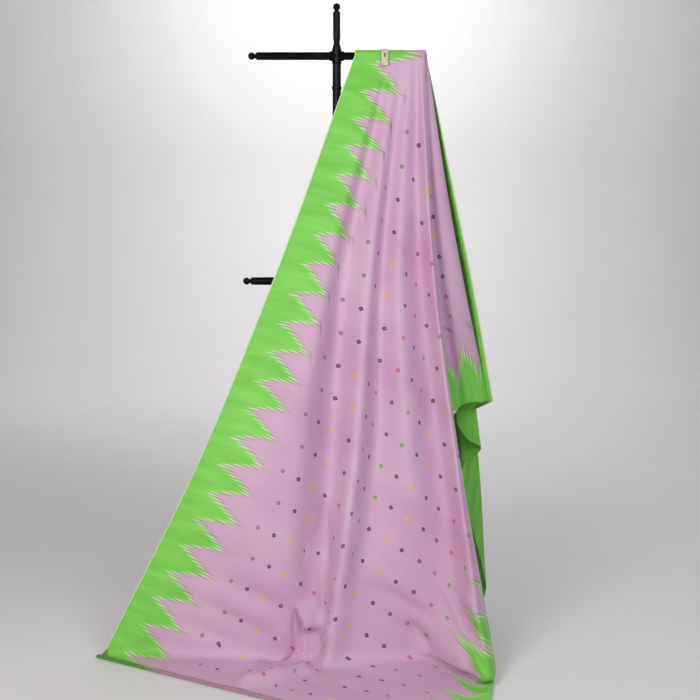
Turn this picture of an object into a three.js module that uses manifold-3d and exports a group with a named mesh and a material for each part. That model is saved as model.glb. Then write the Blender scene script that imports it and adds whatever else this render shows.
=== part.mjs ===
// A silk sari hung from the upper arm of a black turned display stand and held there by a push-on clip.
// Millimetres, +X to the viewer's right, +Y away from the viewer, +Z up; the origin is on the floor under the post.
//
// The cloth is one sheet. Its face falls in a fan from the arm, to the left and forward on to the floor, and lies
// there up to a turn. It runs back underneath, goes up behind the face as a second layer and hooks over the arm.
// On the right the cloth runs round the arm's tip and falls behind the face in a cascade.
import * as THREE from "three";
import { mergeVertices } from "three/addons/utils/BufferGeometryUtils.js";
import Module from "manifold-3d";

const wasm = await Module();
wasm.setup();
const { Manifold, Mesh } = wasm;

// Stand
const ARM_HEIGHT = 1660;
const LOWER_ARM_HEIGHT = 1024;
const TOP_HEIGHT = 1805;
const ARM_RADIUS = 11;
const LOWER_POST_RADIUS = 12;
const UPPER_POST_RADIUS = 10.3;
const BALL_RADIUS = 10.5;
const NECK_RADIUS = 6;
const UPPER_REACH = 251;
const LOWER_REACH = 273;
const HUB_RADIUS = 13.5;
const HUB_REACH = 21;
const SPIGOT_RADIUS = 8;
const SPIGOT_LENGTH = 11;
const FIT_GAP = 0.3;
const BASE_RADIUS = 150;
const BASE_THICKNESS = 10;
const SOCKET_RADIUS = 20;
const SOCKET_HEIGHT = 34;
const SOCKET_FLOOR = 6;
const ROUND_SIDES = 16;

// Sari
const CLOTH_THICKNESS = 2;
const FACE_ROUND_ARM = 16.2;
const LINING_ROUND_ARM = 12.6;
const LINING_GAP = 13;
const LINING_SHARE = 0.89;
const HOOK_LENGTH = 30;
const UNDER_LAYER_HEIGHT = 1;
const FLOOR_LAYER_GAP = 4.6;
const BEND_RADIUS = 34;
const HIGH_AT = 0.41;
const LOW_AT = 0.66;

// Where the cloth turns under on the floor, from the left selvedge to the right one.
const TURN_LEFT = { x: -660, y: -280 };
const TURN_RIGHT = { x: 340, y: -806 };

// One fold or edge of the fan. arm, high, low and hem are where it passes the arm, 0.41 and 0.66 of its drop, and
// its foot, each as x and y from the post; foot is the height of its lower end above the floor.
function fold(name, arm, high, low, hem, foot) {
  return { name, arm, high, low, hem, foot };
}

// The folds in order round the cloth, from the left selvedge to the right one.
const FOLDS = [
  fold("left selvedge", [51, -17], [-199, -116], [-370, -178], [-648, -264], 0),
  fold("border", [92, -17.5], [-112, -123], [-235, -189], [-420, -274], 0),
  fold("seam ridge", [134, -18.5], [-41, -132], [-102, -204], [-150, -306], 0),
  fold("first valley", [151, -16.5], [12, -85], [-13, -133], [-52, -288], 0),
  fold("first ridge", [163, -19], [86, -134], [54, -210], [-26, -346], 0),
  fold("second valley", [187, -16.5], [122, -94], [110, -152], [36, -330], 0),
  fold("second ridge", [206, -20], [176, -130], [200, -198], [232, -300], 0),
  fold("third valley", [224, -16.5], [240, -88], [286, -146], [350, -370], 0),
  fold("third ridge", [234, -20], [277, -138], [328, -209], [396, -424], 0),
  fold("floor corner", [242, -17.5], [284, -114], [339, -178], [430, -346], 0),
  fold("tucked edge", [247, -14.5], [272, -92], [326, -142], [411, -250], 97),
  fold("tucked wall", [250, -11.5], [226, -58], [284, -92], [366, -150], 330),
  fold("tucked valley", [254.2, -6.8], [110, -54], [136, -82], [226, -112], 480),
  fold("strip root", [254.8, -3.8], [248, -52], [268, -70], [332, -90], 640),
  fold("strip left", [255, -0.8], [270, -44], [296, -58], [354, -62], 664),
  fold("strip crown", [255, 2.4], [288, -50], [322, -66], [380, -70], 677),
  fold("strip right", [254.8, 5.8], [314, -36], [361, -42], [430, -34], 675),
  fold("strip back", [254.2, 9.4], [318, -12], [366, -12], [442, -6], 674),
  fold("curl", [252.8, 13.2], [280, 8], [320, 10], [352, 6], 618),
  fold("lobe", [250.6, 17], [296, 14], [336, 12], [384, 0], 556),
  fold("lobe edge", [247.6, 21], [306, 24], [372, 26], [428, 20], 524),
  fold("lobe back", [243, 25], [290, 36], [340, 46], [372, 46], 450),
  fold("back edge", [237, 29], [290, 54], [398, 64], [447, 66], 24),
  fold("back ridge", [230, 33], [170, 70], [190, 96], [206, 176], 40),
  fold("back turn", [222, 37], [-66, 90], [-90, 128], [-110, 200], 40),
  fold("back return", [228, 43], [100, 110], [120, 152], [150, 232], 60),
  fold("back crest", [240, 42], [226, 100], [270, 130], [320, 150], 260),
  fold("line root", [249, 37], [290, 60], [340, 62], [376, 66], 600),
  fold("right selvedge", [256, 26], [341, -22], [393, -28], [456, -28], 676),
];
const LAST_OVER_ARM = FOLDS.findIndex((row) => row.name === "third ridge");
const LAST_ON_FLOOR = FOLDS.findIndex((row) => row.name === "floor corner");
const LAST_ROUND_TIP = FOLDS.findIndex((row) => row.name === "back edge");
const COLUMNS_PER_FOLD = 3;
const HANG_ROWS = 15;
const HOOK_ROWS = 7;
const CAP_ROWS = 3;
const CAP_CLOSES = 0.9;
const BEND_ROWS = 3;
const FLOOR_ROWS = 3;

// Clip
const CLIP_X = 135;
const CLIP_WIDTH = 19;
const CLIP_WALL = 2.4;
const CLIP_CLEARANCE = 0.6;
const CLIP_FRONT_EXTRA = 3.4;
const CLIP_FRONT_LIP = { y: -28, z: -30 };
const CLIP_BACK_LIP = 10;
const CLIP_SLOT_WIDTH = 4;
const CLIP_SLOT_DEPTH = 12;

const LACQUER = new THREE.MeshStandardMaterial({ name: "black_lacquer", color: 0x17161a, roughness: 0.38 });
const SILK = new THREE.MeshStandardMaterial({ name: "silk", color: 0xcfa3c8, roughness: 0.55 });
const CREAM = new THREE.MeshStandardMaterial({ name: "cream_plastic", color: 0xd9cbb4, roughness: 0.5 });
const stand = new THREE.Group();

// A closed body from any geometry: shared corners joined, empty triangles dropped, faces out.
function closed(geometry) {
  const bare = geometry.clone();
  bare.deleteAttribute("uv");
  bare.deleteAttribute("normal");
  const joined = mergeVertices(bare, 1e-4);
  const index = joined.index.array;
  const kept = [];
  for (let i = 0; i < index.length; i += 3) {
    const [a, b, c] = [index[i], index[i + 1], index[i + 2]];
    if (a !== b && b !== c && a !== c) kept.push(a, b, c);
  }
  const result = new THREE.BufferGeometry();
  result.setAttribute("position", joined.getAttribute("position"));
  result.setIndex(volume(joined.getAttribute("position"), kept) < 0 ? flipped(kept) : kept);
  result.computeVertexNormals();
  return result;
}

function volume(position, index) {
  const corner = [new THREE.Vector3(), new THREE.Vector3(), new THREE.Vector3()];
  let sum = 0;
  for (let i = 0; i < index.length; i += 3) {
    corner.forEach((point, k) => point.fromBufferAttribute(position, index[i + k]));
    sum += corner[0].dot(corner[1].clone().cross(corner[2])) / 6;
  }
  return sum;
}

function flipped(index) {
  const result = [];
  for (let i = 0; i < index.length; i += 3) result.push(index[i], index[i + 2], index[i + 1]);
  return result;
}

function add(name, geometry, material, position = [0, 0, 0]) {
  const mesh = new THREE.Mesh(closed(geometry), material.clone());
  mesh.name = name;
  mesh.position.set(...position);
  stand.add(mesh);
}

// A turned piece from its profile of [radius, distance along], with its axis along +Z, +X or -X.
function turned(profile, axis = "z") {
  const points = profile.map(([radius, along]) => new THREE.Vector2(radius, along));
  const geometry = new THREE.LatheGeometry(points, ROUND_SIDES);
  if (axis === "z") geometry.rotateX(Math.PI / 2);
  if (axis === "x") geometry.rotateZ(-Math.PI / 2);
  if (axis === "-x") geometry.rotateZ(Math.PI / 2);
  return geometry;
}

// The end of a rod: a neck, then a ball whose far point is at the given distance.
function ballEnd(rodRadius, far) {
  const centre = far - BALL_RADIUS;
  const neckAngle = Math.acos(-Math.sqrt(1 - (NECK_RADIUS / BALL_RADIUS) ** 2));
  const neckAt = centre + BALL_RADIUS * Math.cos(neckAngle);
  const points = [[rodRadius, neckAt - 7], [rodRadius - 1, neckAt - 4.5], [NECK_RADIUS, neckAt - 2.5]];
  const steps = 6;
  for (let i = 0; i <= steps; i += 1) {
    const angle = neckAngle * (1 - i / steps);
    points.push([BALL_RADIUS * Math.sin(angle), centre + BALL_RADIUS * Math.cos(angle)]);
  }
  points[points.length - 1][0] = 0;
  return points;
}

// An arm: a spigot in the hub, a shoulder, a rod that swells a little at its middle and a ball end.
function armProfile(reach, swell) {
  const shoulder = HUB_REACH + FIT_GAP;
  const middle = (shoulder + reach) / 2;
  return [
    [0, shoulder - SPIGOT_LENGTH],
    [SPIGOT_RADIUS, shoulder - SPIGOT_LENGTH],
    [SPIGOT_RADIUS, shoulder],
    [ARM_RADIUS, shoulder],
    [ARM_RADIUS + swell * 0.6, middle - 40],
    [ARM_RADIUS + swell, middle],
    [ARM_RADIUS + swell * 0.6, middle + 40],
    ...ballEnd(ARM_RADIUS, reach),
  ];
}

// A length of the post with a spigot at each end.
function postProfile(bottom, top, body) {
  return [
    [0, bottom - SPIGOT_LENGTH],
    [SPIGOT_RADIUS, bottom - SPIGOT_LENGTH],
    [SPIGOT_RADIUS, bottom],
    ...body,
    [SPIGOT_RADIUS, top],
    [SPIGOT_RADIUS, top + SPIGOT_LENGTH],
    [0, top + SPIGOT_LENGTH],
  ];
}

// A manifold body from a geometry, and back.
function toManifold(geometry) {
  const body = closed(geometry);
  const vertProperties = Float32Array.from(body.getAttribute("position").array);
  const triVerts = Uint32Array.from(body.index.array);
  return new Manifold(new Mesh({ numProp: 3, vertProperties, triVerts }));
}

function fromManifold(body) {
  const mesh = body.getMesh();
  const geometry = new THREE.BufferGeometry();
  geometry.setAttribute("position", new THREE.BufferAttribute(Float32Array.from(mesh.vertProperties), 3));
  geometry.setIndex(Array.from(mesh.triVerts));
  return geometry;
}

// A hub where the post and two arms meet: two crossed barrels with a socket in each of the four ends.
function hub() {
  const barrel = [[0, -HUB_REACH], [HUB_RADIUS - 1, -HUB_REACH], [HUB_RADIUS, -HUB_REACH + 2]];
  barrel.push([HUB_RADIUS, HUB_REACH - 2], [HUB_RADIUS - 1, HUB_REACH], [0, HUB_REACH]);
  const socketEnd = HUB_REACH - SPIGOT_LENGTH - 2 * FIT_GAP;
  const radius = SPIGOT_RADIUS + FIT_GAP;
  const socket = (end) => [[0, socketEnd * end], [radius, socketEnd * end], [radius, 30 * end], [0, 30 * end]];
  let body = toManifold(turned(barrel, "z")).add(toManifold(turned(barrel, "x")));
  for (const axis of ["z", "x"]) {
    for (const end of [-1, 1]) body = body.subtract(toManifold(turned(socket(end), axis)));
  }
  return fromManifold(body);
}

function addStand() {
  const socketRadius = SPIGOT_RADIUS + 1 + FIT_GAP;
  add("base_plate", turned([
    [0, 0],
    [BASE_RADIUS - 2, 0],
    [BASE_RADIUS, 2],
    [BASE_RADIUS, BASE_THICKNESS - 2],
    [BASE_RADIUS - 2, BASE_THICKNESS],
    [SOCKET_RADIUS + 6, BASE_THICKNESS],
    [SOCKET_RADIUS, BASE_THICKNESS + 6],
    [SOCKET_RADIUS, SOCKET_HEIGHT - 2],
    [SOCKET_RADIUS - 2, SOCKET_HEIGHT],
    [socketRadius, SOCKET_HEIGHT],
    [socketRadius, SOCKET_FLOOR],
    [0, SOCKET_FLOOR],
  ]), LACQUER);

  const lowTop = LOWER_ARM_HEIGHT - HUB_REACH - FIT_GAP;
  add("post_lower", turned([
    [0, SOCKET_FLOOR + FIT_GAP],
    [SPIGOT_RADIUS + 1, SOCKET_FLOOR + FIT_GAP],
    [SPIGOT_RADIUS + 1, SOCKET_HEIGHT + FIT_GAP],
    [LOWER_POST_RADIUS, SOCKET_HEIGHT + FIT_GAP],
    [LOWER_POST_RADIUS, lowTop],
    [SPIGOT_RADIUS, lowTop],
    [SPIGOT_RADIUS, lowTop + SPIGOT_LENGTH],
    [0, lowTop + SPIGOT_LENGTH],
  ]), LACQUER);

  const midBottom = LOWER_ARM_HEIGHT + HUB_REACH + FIT_GAP;
  const midTop = ARM_HEIGHT - HUB_REACH - FIT_GAP;
  const bead = midTop - 67;
  add("post_middle", turned(postProfile(midBottom, midTop, [
    [LOWER_POST_RADIUS, midBottom],
    [LOWER_POST_RADIUS, bead - 6],
    [LOWER_POST_RADIUS + 2, bead - 3],
    [LOWER_POST_RADIUS + 2, bead + 3],
    [LOWER_POST_RADIUS, bead + 6],
    [LOWER_POST_RADIUS, midTop],
  ])), LACQUER);

  const topBottom = ARM_HEIGHT + HUB_REACH + FIT_GAP;
  add("post_top", turned([
    [0, topBottom - SPIGOT_LENGTH],
    [SPIGOT_RADIUS, topBottom - SPIGOT_LENGTH],
    [SPIGOT_RADIUS, topBottom],
    [UPPER_POST_RADIUS + 1, topBottom],
    [UPPER_POST_RADIUS + 1, topBottom + 6],
    [UPPER_POST_RADIUS - 1.3, topBottom + 10],
    [UPPER_POST_RADIUS - 1.3, topBottom + 20],
    [UPPER_POST_RADIUS, topBottom + 26],
    ...ballEnd(UPPER_POST_RADIUS, TOP_HEIGHT),
  ]), LACQUER);

  add("hub_upper", hub(), LACQUER, [0, 0, ARM_HEIGHT]);
  add("hub_lower", hub(), LACQUER, [0, 0, LOWER_ARM_HEIGHT]);
  add("arm_upper_left", turned(armProfile(UPPER_REACH, 0), "-x"), LACQUER, [0, 0, ARM_HEIGHT]);
  add("arm_upper_right", turned(armProfile(UPPER_REACH, 0), "x"), LACQUER, [0, 0, ARM_HEIGHT]);
  add("arm_lower_left", turned(armProfile(LOWER_REACH, 1), "-x"), LACQUER, [0, 0, LOWER_ARM_HEIGHT]);
  add("arm_lower_right", turned(armProfile(LOWER_REACH, 1), "x"), LACQUER, [0, 0, LOWER_ARM_HEIGHT]);
}

// Smooth course of one number down the drop, through its values at the arm, high, low and at the foot.
function course(values, t) {
  const knots = [0, HIGH_AT, LOW_AT, 1];
  const slope = (i) => (values[i + 1] - values[i]) / (knots[i + 1] - knots[i]);
  const tangent = (i) => {
    if (i === 0) return slope(0);
    if (i === 3) return slope(2);
    const before = knots[i] - knots[i - 1];
    const after = knots[i + 1] - knots[i];
    return (slope(i - 1) * after + slope(i) * before) / (before + after);
  };
  const i = t < HIGH_AT ? 0 : t < LOW_AT ? 1 : 2;
  const span = knots[i + 1] - knots[i];
  const s = (t - knots[i]) / span;
  const cubic = 2 * s ** 3 - 3 * s ** 2;
  const start = (1 + cubic) * values[i] + (s ** 3 - 2 * s ** 2 + s) * span * tangent(i);
  return start - cubic * values[i + 1] + (s ** 3 - s ** 2) * span * tangent(i + 1);
}

// The section of the hanging cloth at the share t of its drop, as a curve through all its folds.
function section(t) {
  return new THREE.CatmullRomCurve3(FOLDS.map((row) => new THREE.Vector3(
    course([row.arm[0], row.high[0], row.low[0], row.hem[0]], t),
    course([row.arm[1], row.high[1], row.low[1], row.hem[1]], t),
    THREE.MathUtils.lerp(ARM_HEIGHT, row.foot, t),
  )), false, "centripetal");
}

const sections = new Map();
function hanging(column, t) {
  if (!sections.has(t)) sections.set(t, section(t));
  return sections.get(t).getPoint(column / (COLUMNS_PER_FOLD * (FOLDS.length - 1)));
}

// The second layer keeps the face's folds, a little narrower and behind it.
function lining(column, t) {
  const point = hanging(column * LINING_SHARE, t);
  const nearArm = THREE.MathUtils.smoothstep(t, 0, 0.12);
  point.y += THREE.MathUtils.lerp(FACE_ROUND_ARM - LINING_ROUND_ARM, LINING_GAP, nearArm);
  return point;
}

// Over the arm: from the front of the arm round its top and down behind it.
function hooked(front, radius, row) {
  const angle = Math.PI * Math.min(1, row / (HOOK_ROWS - 1));
  const reach = angle < Math.PI / 2 ? -front.y : radius;
  const drop = row === HOOK_ROWS ? HOOK_LENGTH : 0;
  return new THREE.Vector3(front.x, -reach * Math.cos(angle), ARM_HEIGHT + radius * Math.sin(angle) - drop);
}

// Round the arm's tip the cloth leans in over the ball and nearly closes above it.
function capped(point, row) {
  const angle = (row / CAP_ROWS) * (Math.PI / 2);
  const share = CAP_CLOSES * (1 - Math.cos(angle));
  return new THREE.Vector3(
    THREE.MathUtils.lerp(point.x, UPPER_REACH - 3, share),
    THREE.MathUtils.lerp(point.y, 0, share),
    ARM_HEIGHT + FACE_ROUND_ARM * Math.sin(angle),
  );
}

// One column of one layer from the arm to where the cloth turns under: down, round the bend, along the floor.
function fallen(course, column, height) {
  const foot = course(column, 1).setZ(height);
  const turn = turnPoint(column).setZ(height);
  const run = turn.clone().sub(foot);
  const bend = Math.min(BEND_RADIUS, run.length() * 0.45);
  const start = course(column, 1 - (height + bend) / ARM_HEIGHT);
  const end = foot.clone().addScaledVector(run.clone().normalize(), bend);
  const curve = new THREE.QuadraticBezierCurve3(start, foot, end);
  const points = [];
  for (let row = 0; row < HANG_ROWS; row += 1) {
    points.push(course(column, (row / HANG_ROWS) * (1 - (height + bend) / ARM_HEIGHT)));
  }
  for (let row = 0; row <= BEND_ROWS; row += 1) points.push(curve.getPoint(row / BEND_ROWS));
  for (let row = 1; row <= FLOOR_ROWS; row += 1) points.push(end.clone().lerp(turn, row / FLOOR_ROWS));
  return points;
}

// A column's place on the line where the cloth turns under.
function turnPoint(column) {
  const share = (column / (COLUMNS_PER_FOLD * LAST_ON_FLOOR)) ** 0.9;
  return new THREE.Vector3(
    THREE.MathUtils.lerp(TURN_LEFT.x, TURN_RIGHT.x, share),
    THREE.MathUtils.lerp(TURN_LEFT.y, TURN_RIGHT.y, share),
    0,
  );
}

// A whole column: the hook or cap above the arm, then the drop and, for the folds that reach it, the floor, the
// turn and the second layer up to its own hook. The arm's row is row 0.
function sariColumn(column) {
  const above = [];
  if (column <= COLUMNS_PER_FOLD * LAST_OVER_ARM) {
    for (let row = HOOK_ROWS; row > 0; row -= 1) above.push(hooked(hanging(column, 0), FACE_ROUND_ARM, row));
  } else if (column <= COLUMNS_PER_FOLD * LAST_ROUND_TIP) {
    for (let row = CAP_ROWS; row > 0; row -= 1) above.push(capped(hanging(column, 0), row));
  }
  const below = [];
  if (column > COLUMNS_PER_FOLD * LAST_ON_FLOOR) {
    for (let row = 0; row <= HANG_ROWS; row += 1) below.push(hanging(column, row / HANG_ROWS));
    return { first: -above.length, points: [...above, ...below] };
  }
  below.push(...fallen(hanging, column, UNDER_LAYER_HEIGHT + FLOOR_LAYER_GAP));
  const second = fallen(lining, column, UNDER_LAYER_HEIGHT).reverse();
  const edge = second[0].clone().add(new THREE.Vector3(-0.45, -0.89, 0).multiplyScalar(FLOOR_LAYER_GAP / 2));
  edge.z += FLOOR_LAYER_GAP / 2;
  below.push(edge, ...second);
  for (let row = 1; row <= HOOK_ROWS; row += 1) below.push(hooked(lining(column, 0), LINING_ROUND_ARM, row));
  return { first: -above.length, points: [...above, ...below] };
}

// The sheet's middle surface: corner points and the triangles between neighbouring columns.
function sariSheet() {
  const columns = [];
  let count = 0;
  for (let column = 0; column <= COLUMNS_PER_FOLD * (FOLDS.length - 1); column += 1) {
    const made = sariColumn(column);
    columns.push({ ...made, start: count, last: made.first + made.points.length - 1 });
    count += made.points.length;
  }
  const triangles = [];
  const at = (column, row) => columns[column].start + row - columns[column].first;
  for (let column = 0; column + 1 < columns.length; column += 1) {
    const first = Math.max(columns[column].first, columns[column + 1].first);
    const last = Math.min(columns[column].last, columns[column + 1].last);
    for (let row = first; row < last; row += 1) {
      const [a, b] = [at(column, row), at(column + 1, row)];
      const [c, d] = [at(column + 1, row + 1), at(column, row + 1)];
      triangles.push([a, b, c], [a, c, d]);
    }
  }
  return { points: columns.flatMap((column) => column.points), triangles };
}

// A sheet given its thickness: both faces pushed out along the normals and joined round the free edge.
function thickened({ points, triangles }, thickness) {
  const normals = points.map(() => new THREE.Vector3());
  const edges = new Map();
  for (const [a, b, c] of triangles) {
    const across = points[b].clone().sub(points[a]).cross(points[c].clone().sub(points[a]));
    [a, b, c].forEach((corner) => normals[corner].add(across));
    [[a, b], [b, c], [c, a]].forEach(([from, to]) => {
      if (!edges.delete(`${to} ${from}`)) edges.set(`${from} ${to}`, [from, to]);
    });
  }
  const count = points.length;
  const half = thickness / 2;
  const corners = [
    ...points.map((point, i) => point.clone().addScaledVector(normals[i].normalize(), half)),
    ...points.map((point, i) => point.clone().addScaledVector(normals[i], -half)),
  ];
  const index = triangles.flatMap(([a, b, c]) => [a, b, c, a + count, c + count, b + count]);
  for (const [from, to] of edges.values()) {
    index.push(from, from + count, to + count, from, to + count, to);
  }
  const geometry = new THREE.BufferGeometry().setFromPoints(corners);
  geometry.setIndex(index);
  return geometry;
}

// A cap of plastic that snaps over the cloth and the arm: a long lip in front, a short one behind, a slot on top.
function clipBody() {
  const inside = FACE_ROUND_ARM + CLOTH_THICKNESS / 2 + CLIP_CLEARANCE;
  const front = inside + CLIP_FRONT_EXTRA;
  const path = [[CLIP_FRONT_LIP.y, CLIP_FRONT_LIP.z], [-front, 2]];
  const steps = 8;
  for (let i = 1; i <= steps; i += 1) {
    const angle = (Math.PI * i) / steps;
    path.push([-(angle < Math.PI / 2 ? front : inside) * Math.cos(angle), inside * Math.sin(angle)]);
  }
  path.push([inside, -CLIP_BACK_LIP]);
  const outer = path.map(([y, z], i) => {
    const before = path[Math.max(0, i - 1)];
    const after = path[Math.min(path.length - 1, i + 1)];
    const along = new THREE.Vector2(after[0] - before[0], after[1] - before[1]).normalize();
    return [y - along.y * CLIP_WALL, z + along.x * CLIP_WALL];
  });
  const outline = [...path, ...outer.reverse()].map(([y, z]) => new THREE.Vector2(y, z));
  const body = new THREE.ExtrudeGeometry(new THREE.Shape(outline), { depth: CLIP_WIDTH, bevelEnabled: false });
  body.applyMatrix4(new THREE.Matrix4().set(0, 0, 1, -CLIP_WIDTH / 2, 1, 0, 0, 0, 0, 1, 0, 0, 0, 0, 0, 1));
  const slot = new THREE.BoxGeometry(CLIP_SLOT_WIDTH, CLIP_WALL * 4, CLIP_SLOT_DEPTH);
  slot.translate(0, -front, CLIP_SLOT_DEPTH / 2 - 6);
  return fromManifold(toManifold(body).subtract(toManifold(slot)));
}

addStand();
add("sari", thickened(sariSheet(), CLOTH_THICKNESS), SILK);
add("clip", clipBody(), CREAM, [CLIP_X, 0, ARM_HEIGHT]);

export default stand;
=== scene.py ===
"""Looks of a gadwal sari on a display stand: woven silk, lacquered stand, plastic clip and studio."""

import math
from typing import NamedTuple

import bpy
import numpy as np
from bpy.props import FloatProperty, FloatVectorProperty, PointerProperty
from bpy.types import Operator, Panel, PropertyGroup
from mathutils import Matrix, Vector, noise


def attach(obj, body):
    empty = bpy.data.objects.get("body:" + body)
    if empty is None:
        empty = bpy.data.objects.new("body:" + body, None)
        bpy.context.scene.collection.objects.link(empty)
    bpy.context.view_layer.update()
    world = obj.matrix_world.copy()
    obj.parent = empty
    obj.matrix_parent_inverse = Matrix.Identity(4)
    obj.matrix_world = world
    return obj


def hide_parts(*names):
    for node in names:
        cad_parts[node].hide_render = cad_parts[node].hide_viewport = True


bl_info = {
    "name": "Gadwal sari on a display stand",
    "version": (1, 0, 0),
    "blender": (4, 5, 0),
    "location": "View3D > Sidebar > Sari",
    "description": "Hangs a woven silk sari on its stand and sets the studio round it",
    "category": "Object",
}

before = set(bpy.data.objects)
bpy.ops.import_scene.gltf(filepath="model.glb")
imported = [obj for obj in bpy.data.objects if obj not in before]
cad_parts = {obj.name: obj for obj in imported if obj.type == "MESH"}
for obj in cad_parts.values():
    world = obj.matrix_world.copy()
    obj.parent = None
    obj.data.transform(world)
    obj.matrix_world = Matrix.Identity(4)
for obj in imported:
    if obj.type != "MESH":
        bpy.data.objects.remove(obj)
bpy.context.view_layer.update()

MM = 0.001
TURN = 2 * math.pi

# The stand's arm that carries the sari, in metres
ARM_HEIGHT = 1.660
ARM_REACH = 0.251

# The sari's layers in metres: how far they stand off the arm and the floor, their bends and their turn
FACE_ROUND_ARM = 0.0162
LINING_ROUND_ARM = 0.0126
LINING_GAP = 0.013
LINING_SHARE = 0.89
HOOK_LENGTH = 0.030
UNDER_LAYER_HEIGHT = 0.001
FLOOR_LAYER_GAP = 0.0046
BEND_RADIUS = 0.034
TURN_LEFT = np.array((-0.660, -0.280))
TURN_RIGHT = np.array((0.340, -0.806))
TURN_CURVE = 0.9
CAP_CLOSES = 0.9
CAP_INSET = 0.003
BEND_SHARE = 0.45
EDGE_ROLL = np.array((-0.0020, -0.0040, 0.0050))

# Share of the drop by which the lining has moved back to its own gap behind the face
LINING_BACK_BY = 0.12

# Shares of the drop at which the fold table is given: the arm, high, low and the foot
HEIGHTS = np.array((0.0, 0.41, 0.66, 1.0))

# Rows and columns of the cloth's mesh, with the columns closer after some folds, where the cloth is creased
CAP_ROWS = 5
HOOK_DROP_ROWS = 3
HANG_ROWS = 132
BEND_ROWS = 6
FLOOR_ROWS = 26
UNDER_ROWS = 9
LINING_ROWS = 48
ROW_GATHER = 0.25
FLOOR_GATHER = 1.5
COLUMN_WIDTH = 0.0135
CREASED_COLUMN_WIDTH = 0.0085
CREASED_AFTER = ("seam ridge", "first valley", "first ridge", "third valley", "third ridge")
FEWEST_COLUMNS = 6
HIDDEN_COLUMNS = 5

# Length of woven cloth in each length of the drawn drop: the face at the four heights, and the strip
FACE_EASE = (0.883, 0.933, 0.976, 1.007)
STRIP_EASE = 0.935


class Fold(NamedTuple):
    """One fold of the hanging sari, followed from the arm to its foot."""

    name: str
    arm: tuple
    high: tuple
    low: tuple
    hem: tuple
    foot: float


# Folds in mm from left to right: x and y at four heights, and the foot's height
FOLDS = [
    Fold("left selvedge", (51, -17), (-199, -116), (-370, -178), (-648, -264), 0),
    Fold("border", (92, -17.5), (-112, -123), (-235, -189), (-420, -274), 0),
    Fold("seam ridge", (134, -18.5), (-41, -132), (-102, -204), (-150, -306), 0),
    Fold("first valley", (151, -16.5), (12, -85), (-13, -133), (-52, -288), 0),
    Fold("first ridge", (163, -19), (86, -134), (54, -210), (-26, -346), 0),
    Fold("second valley", (187, -16.5), (122, -94), (110, -152), (36, -330), 0),
    Fold("second ridge", (206, -20), (176, -130), (200, -198), (232, -300), 0),
    Fold("third valley", (224, -16.5), (240, -88), (286, -146), (350, -370), 0),
    Fold("third ridge", (234, -20), (277, -138), (328, -209), (396, -424), 0),
    Fold("floor corner", (242, -17.5), (284, -114), (339, -178), (430, -346), 0),
    Fold("tucked edge", (247, -14.5), (272, -92), (326, -142), (411, -250), 97),
    Fold("tucked wall", (250, -11.5), (226, -58), (284, -92), (366, -150), 330),
    Fold("tucked valley", (254.2, -6.8), (110, -54), (136, -82), (226, -112), 480),
    Fold("strip root", (254.8, -3.8), (248, -52), (268, -70), (332, -90), 640),
    Fold("strip left", (255, -0.8), (270, -44), (296, -58), (354, -62), 664),
    Fold("strip crown", (255, 2.4), (288, -50), (322, -66), (380, -70), 677),
    Fold("strip right", (254.8, 5.8), (314, -36), (361, -42), (430, -34), 675),
    Fold("strip back", (254.2, 9.4), (318, -12), (366, -12), (442, -6), 674),
    Fold("curl", (252.8, 13.2), (280, 8), (320, 10), (352, 6), 618),
    Fold("lobe", (250.6, 17), (296, 14), (336, 12), (384, 0), 556),
    Fold("lobe edge", (247.6, 21), (306, 24), (372, 26), (428, 20), 524),
    Fold("lobe back", (243, 25), (290, 36), (340, 46), (372, 46), 450),
    Fold("back edge", (237, 29), (290, 54), (398, 64), (447, 66), 24),
    Fold("back ridge", (230, 33), (170, 70), (190, 96), (206, 176), 40),
    Fold("back turn", (222, 37), (-66, 90), (-90, 128), (-110, 200), 40),
    Fold("back return", (228, 43), (100, 110), (120, 152), (150, 232), 60),
    Fold("back crest", (240, 42), (226, 100), (270, 130), (320, 150), 260),
    Fold("line root", (249, 37), (290, 60), (340, 62), (376, 66), 600),
    Fold("right selvedge", (256, 26), (341, -22), (393, -28), (456, -28), 676),
]
FOLD_NAMES = [row.name for row in FOLDS]
LAST_OVER_ARM = FOLD_NAMES.index("third ridge")
LAST_ON_FLOOR = FOLD_NAMES.index("floor corner")
LAST_ROUND_TIP = FOLD_NAMES.index("back edge")
STRIP_ROOT = FOLD_NAMES.index("strip root")


class FlatPlace(NamedTuple):
    """Where a fold lies on the flat cloth: angles of its line round a point, and its distance from it."""

    name: str
    angles: tuple
    reach: tuple
    centre: float


# Shares of the drop at which the angles and the reaches are given
FAN_HEIGHTS = np.array((0.0, 0.16, 0.41, 0.66, 1.0))
REACH_HEIGHTS = np.array((0.0, 0.12, 0.5, 1.0))


def straight(name, angle, reach, centre):
    """A fold that keeps one angle and one distance all the way down."""
    return FlatPlace(name, (angle,) * len(FAN_HEIGHTS), (reach,) * len(REACH_HEIGHTS), centre)


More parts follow.
